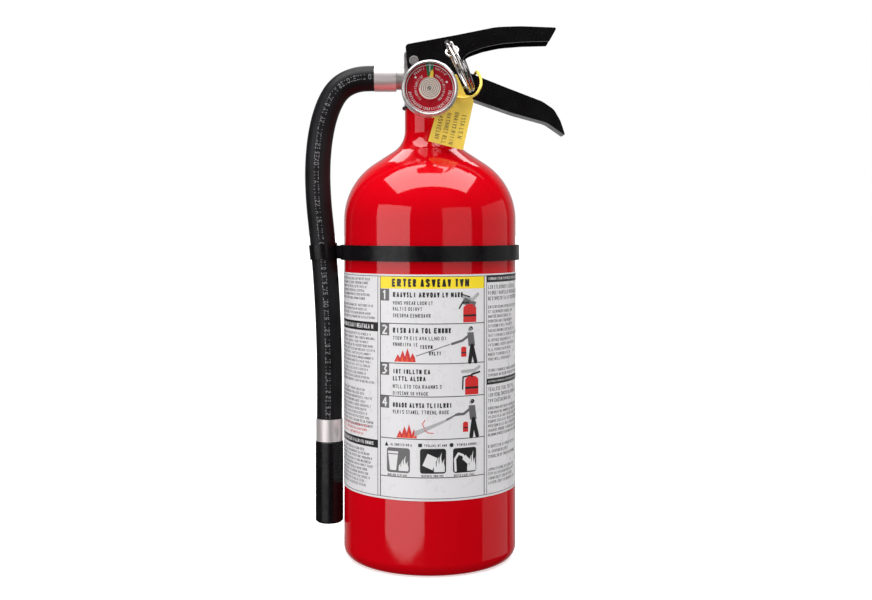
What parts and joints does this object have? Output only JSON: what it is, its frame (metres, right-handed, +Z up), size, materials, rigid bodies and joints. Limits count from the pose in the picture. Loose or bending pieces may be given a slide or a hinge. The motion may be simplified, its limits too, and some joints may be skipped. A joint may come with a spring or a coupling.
{
  "type": "fire extinguisher",
  "caption": "Hand-held dry-chemical fire extinguisher: red cylinder, squeeze lever over a carry handle, pressure gauge, pull pin, and a discharge hose clipped at the side.",
  "frame": {"origin": "centre of the cylinder's foot ring, on the floor", "axes": "+Z up along the cylinder's axis, +X towards the handles' grip end, -Y towards the gauge and the front of the label"},
  "size_m": [0.1727, 0.1194, 0.3505],
  "materials": {
    "red_enamel": "gloss",
    "label_film": "printed vinyl, satin",
    "black_rubber": "matte",
    "cast_metal": "cast, satin",
    "turned_metal": "turned",
    "tube_plastic": "matte",
    "spring_steel": "drawn wire",
    "gauge_brass": "turned",
    "plated_steel": "polished",
    "dial_paint": "printed, satin",
    "coil_metal": "brushed",
    "clear_lens": "clear",
    "black_enamel": "semi-gloss powder coat",
    "ferrule_metal": "brushed, crimped",
    "hose_rubber": "matte, fine extrusion marks",
    "black_plastic": "moulded",
    "ring_steel": "bright wire",
    "yellow_plastic": "moulded, satin",
    "pointer_paint": "painted"
  },
  "bodies": {
    "extinguisher": {"cylinder": "red_enamel", "cylinder_neck": "red_enamel", "instruction_label": "label_film", "neck_gasket": "black_rubber", "valve_body": "cast_metal", "tube_adapter": "turned_metal", "siphon_tube": "tube_plastic", "stem_spring": "spring_steel", "gauge_stem": "gauge_brass", "gauge_case": "plated_steel", "gauge_bezel": "plated_steel", "gauge_dial": "dial_paint", "gauge_coil": "coil_metal", "gauge_lens": "clear_lens", "carry_handle": "black_enamel", "lever_rivet": "plated_steel", "handle_rivet": "plated_steel", "outlet_fitting": "cast_metal", "upper_ferrule": "ferrule_metal", "hose": "hose_rubber", "lower_ferrule": "ferrule_metal", "nozzle": "black_plastic", "hose_clip": "black_plastic"},
    "lever": {"lever": "black_enamel"},
    "stem": {"valve_stem": "turned_metal", "stem_seal": "black_rubber"},
    "pin": {"pull_pin": "ring_steel"},
    "ring": {"pull_ring": "ring_steel"},
    "seal": {"tamper_seal": "yellow_plastic"},
    "pointer": {"gauge_pointer": "pointer_paint"}
  },
  "joints": [
    {"name": "lever_squeeze", "type": "hinge", "parent": "extinguisher", "child": "lever", "pos_m": [-0.0105, 0, 0.328], "axis": [0, 1, 0], "range_deg": [0, 10], "stiffness_Nm_per_rad": 2, "springref_deg": -17.19},
    {"name": "stem_slide", "type": "slide", "parent": "extinguisher", "child": "stem", "axis": [0, 0, -1], "range_m": [0, 0.00205], "deforming": ["stem_spring"]},
    {"name": "pin_pull", "type": "slide", "parent": "extinguisher", "child": "pin", "axis": [0, -1, 0], "range_m": [0, 0.045]},
    {"name": "ring_swing", "type": "hinge", "parent": "pin", "child": "ring", "pos_m": [0.01446, -0.01847, 0.33281], "axis": [0.9121, 0, 0.41], "range_deg": [-6, 3]},
    {"name": "seal_swing", "type": "hinge", "parent": "extinguisher", "child": "seal", "pos_m": [0.0215, -0.00835, 0.3098], "axis": [0, 1, 0], "range_deg": [-3, 3]},
    {"name": "pointer_turn", "type": "hinge", "parent": "extinguisher", "child": "pointer", "pos_m": [0, -0.0474, 0.3053], "axis": [0, 1, 0], "range_deg": [-67, 52]}
  ],
  "couplings": [
    {"joint": "stem_slide", "follows": "lever_squeeze", "m_per_rad": 0.0116}
  ]
}
